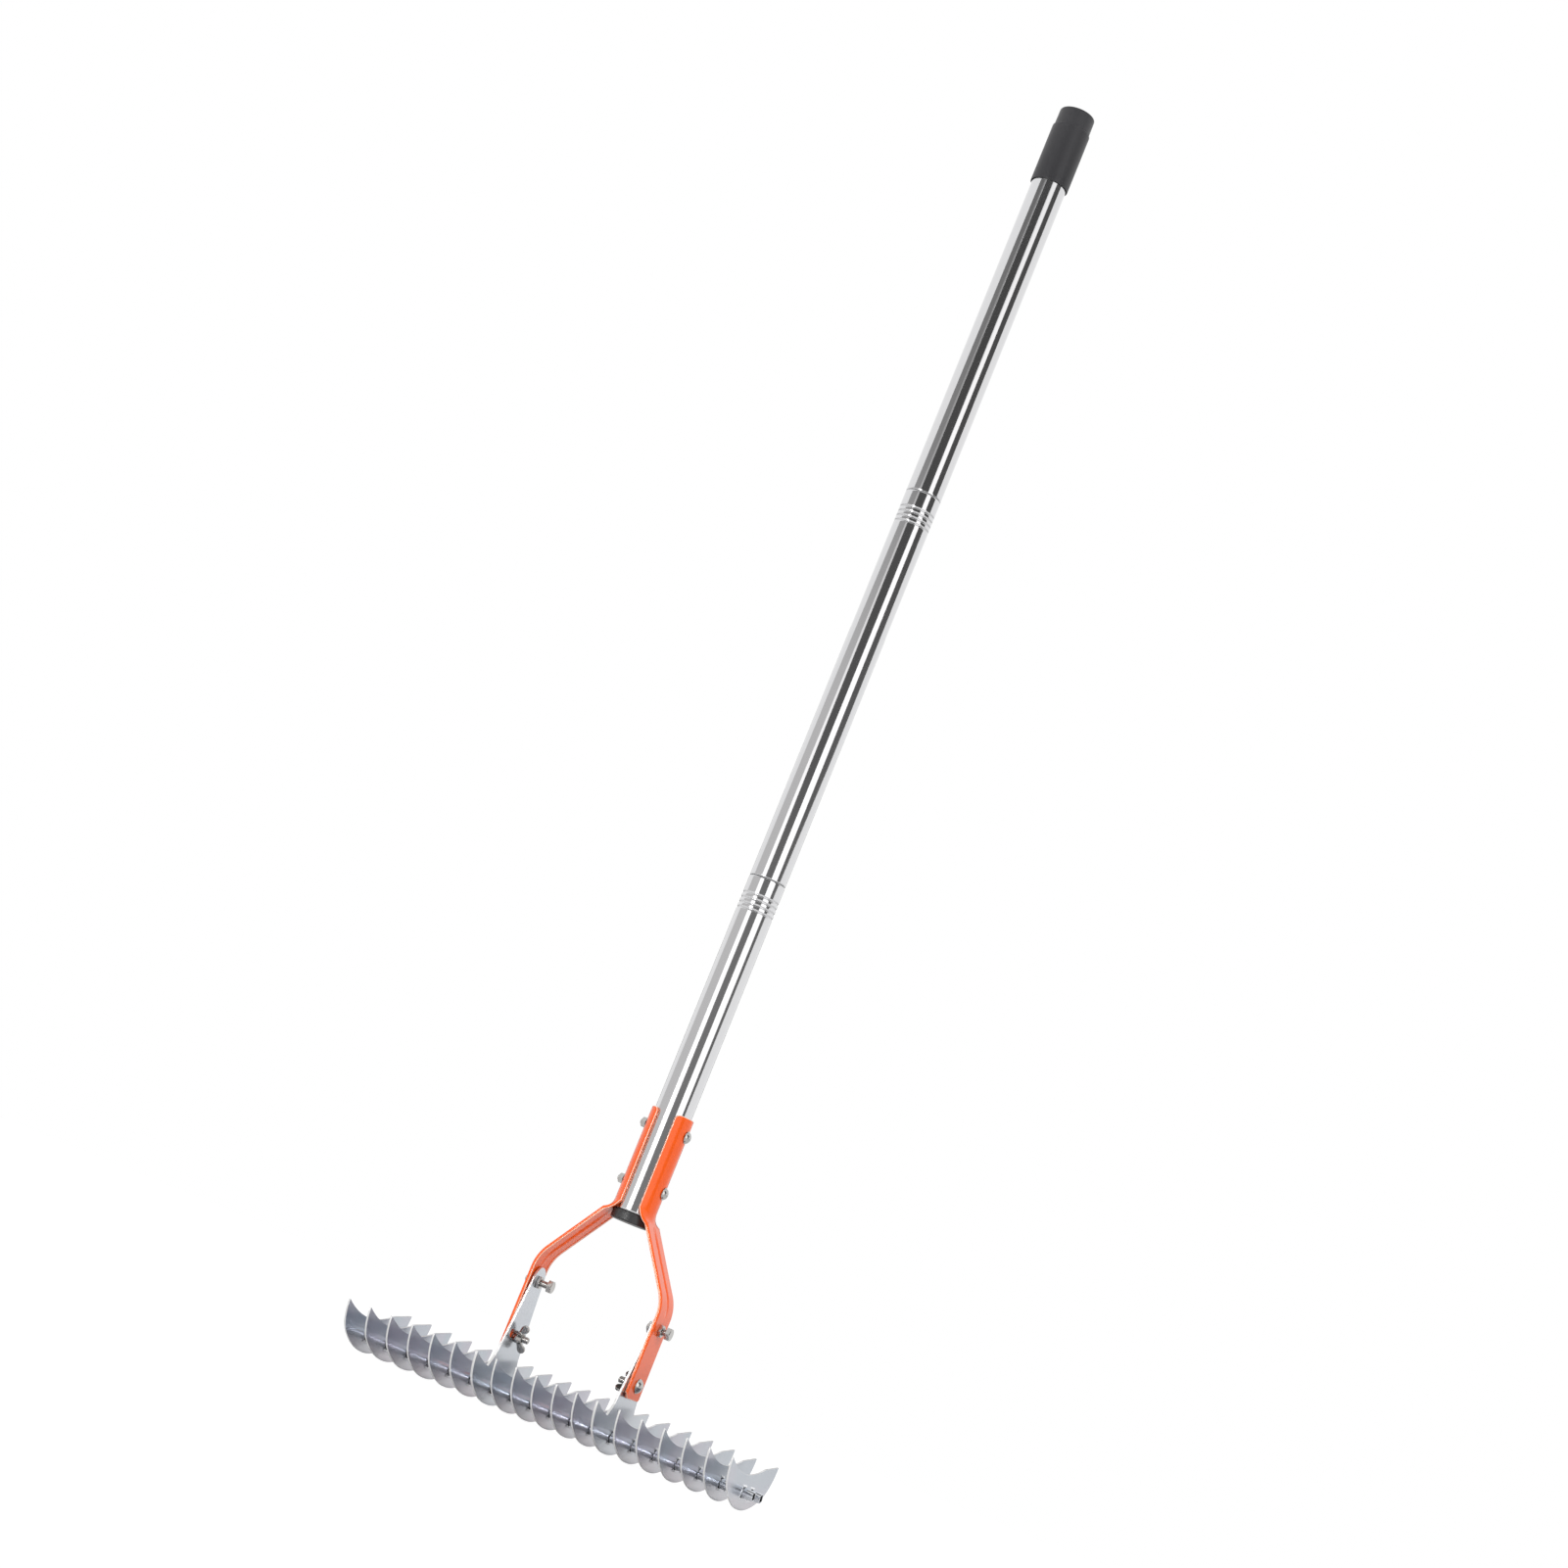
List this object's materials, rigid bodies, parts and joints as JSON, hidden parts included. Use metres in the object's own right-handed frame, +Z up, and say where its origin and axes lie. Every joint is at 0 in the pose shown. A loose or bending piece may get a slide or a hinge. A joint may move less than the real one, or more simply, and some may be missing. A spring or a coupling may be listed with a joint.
{
  "type": "thatch rake",
  "caption": "Long-handled thatch rake: crescent blades on two cross tubes, tilting between orange brackets on a steel pole with a black grip.",
  "frame": {"origin": "centre of the rake's footprint, on the pole's axis, level with the lowest points of the blades", "axes": "+X along the cross tubes to the right, +Y to the rear of the blades, +Z up the pole"},
  "size_m": [0.3732, 0.1358, 1.2369],
  "materials": {
    "blade_sheet": "zinc plated sheet, satin, with bright cut edges",
    "cross_tube": "bright drawn tube",
    "pole_steel": "polished stainless tube",
    "bracket_paint": "glossy orange powder coat",
    "grip": "black rubbery moulding",
    "end_plug": "glossy black moulding",
    "joint_core": "grey moulding",
    "fastener": "bright plated steel"
  },
  "bodies": {
    "root": {"pole_bottom_section": "pole_steel", "pole_middle_section": "pole_steel", "pole_top_section": "pole_steel", "lower_joint_stud": "joint_core", "lower_joint_socket": "joint_core", "upper_joint_stud": "joint_core", "upper_joint_socket": "joint_core", "pole_end_plug": "end_plug", "hand_grip": "grip", "left_bracket": "bracket_paint", "right_bracket": "bracket_paint", "upper_pole_bolt": "fastener", "lower_pole_bolt": "fastener", "upper_pole_nut": "fastener", "lower_pole_nut": "fastener", "left_pivot_bolt": "fastener", "left_pivot_locknut": "fastener", "left_pivot_nut": "fastener", "right_pivot_bolt": "fastener", "right_pivot_locknut": "fastener", "right_pivot_nut": "fastener", "left_clamp_bolt": "fastener", "right_clamp_bolt": "fastener"},
    "head": {"blade_01": "blade_sheet", "blade_02": "blade_sheet", "blade_03": "blade_sheet", "blade_04": "blade_sheet", "blade_05": "blade_sheet", "blade_06": "blade_sheet", "blade_07": "blade_sheet", "blade_08": "blade_sheet", "blade_09": "blade_sheet", "blade_10": "blade_sheet", "blade_11": "blade_sheet", "blade_12": "blade_sheet", "blade_13": "blade_sheet", "blade_14": "blade_sheet", "blade_15": "blade_sheet", "blade_16": "blade_sheet", "blade_17": "blade_sheet", "left_arm_blade": "blade_sheet", "right_arm_blade": "blade_sheet", "front_cross_tube": "cross_tube", "rear_cross_tube": "cross_tube"},
    "left_wing_nut": {"left_wing_nut": "fastener"},
    "right_wing_nut": {"right_wing_nut": "fastener"}
  },
  "joints": [
    {"name": "head_tilt", "type": "hinge", "parent": "root", "child": "head", "pos_m": [0, 0, 0.1075], "axis": [1, 0, 0], "range_deg": [-15, 15]},
    {"name": "left_wing_nut_turn", "type": "hinge", "parent": "root", "child": "left_wing_nut", "pos_m": [-0.0542, 0, 0.0598], "axis": [1, 0, 0], "continuous": true},
    {"name": "right_wing_nut_turn", "type": "hinge", "parent": "root", "child": "right_wing_nut", "pos_m": [0.0542, 0, 0.0598], "axis": [-1, 0, 0], "continuous": true}
  ]
}
